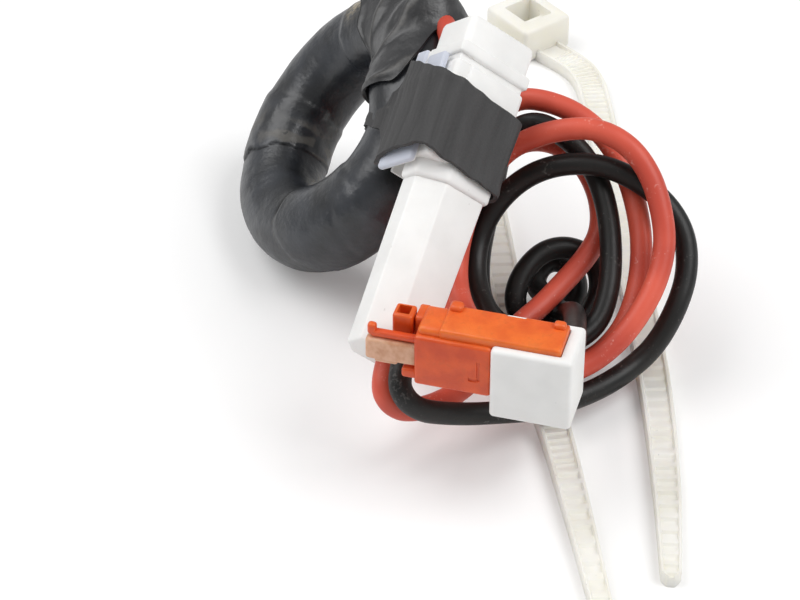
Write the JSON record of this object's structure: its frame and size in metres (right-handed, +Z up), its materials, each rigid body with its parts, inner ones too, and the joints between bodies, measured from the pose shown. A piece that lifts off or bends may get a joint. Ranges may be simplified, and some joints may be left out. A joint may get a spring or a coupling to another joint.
{
  "type": "current transformer",
  "caption": "Taped toroidal current transformer with a mated lead connector bound to its rim, a loose coil of red and black wire and a small branch plug.",
  "frame": {"origin": "centre of the ring's window, on the ring's axis at its mid height", "axes": "+Z up, +Y away from the viewer along the nylon straps, +X to the right; the ring's axis leans 49 degrees from vertical"},
  "size_m": [0.0336, 0.0748, 0.0245],
  "materials": {
    "ring_tape": "satin, dusty",
    "lead_tape": "satin, creased",
    "band_tape": "matte cloth-like",
    "core_iron": "ground",
    "case_nylon": "moulded",
    "copper_wire": "enamelled",
    "white_nylon": "moulded",
    "contact_tin": "plated",
    "red_silicone": "satin",
    "black_silicone": "satin",
    "orange_nylon": "moulded",
    "tan_nylon": "translucent",
    "natural_nylon": "translucent"
  },
  "bodies": {
    "root": {"magnetic_core": "core_iron", "core_case": "case_nylon", "secondary_winding": "copper_wire", "ring_wrap": "ring_tape", "lead_sleeve": "lead_tape", "lead_red": "red_silicone", "lead_black": "black_silicone", "socket_housing": "white_nylon", "socket_contact_red": "contact_tin", "socket_contact_black": "contact_tin", "plug_housing": "white_nylon", "plug_contact_red": "contact_tin", "plug_contact_black": "contact_tin", "tape_band": "band_tape", "cord_red": "red_silicone", "cord_black": "black_silicone", "branch_plug_collar": "white_nylon", "branch_plug_body": "orange_nylon", "branch_plug_lock": "tan_nylon", "branch_contact_red": "contact_tin", "branch_contact_black": "contact_tin", "strap_long": "natural_nylon", "strap_short": "natural_nylon"}
  },
  "joints": []
}
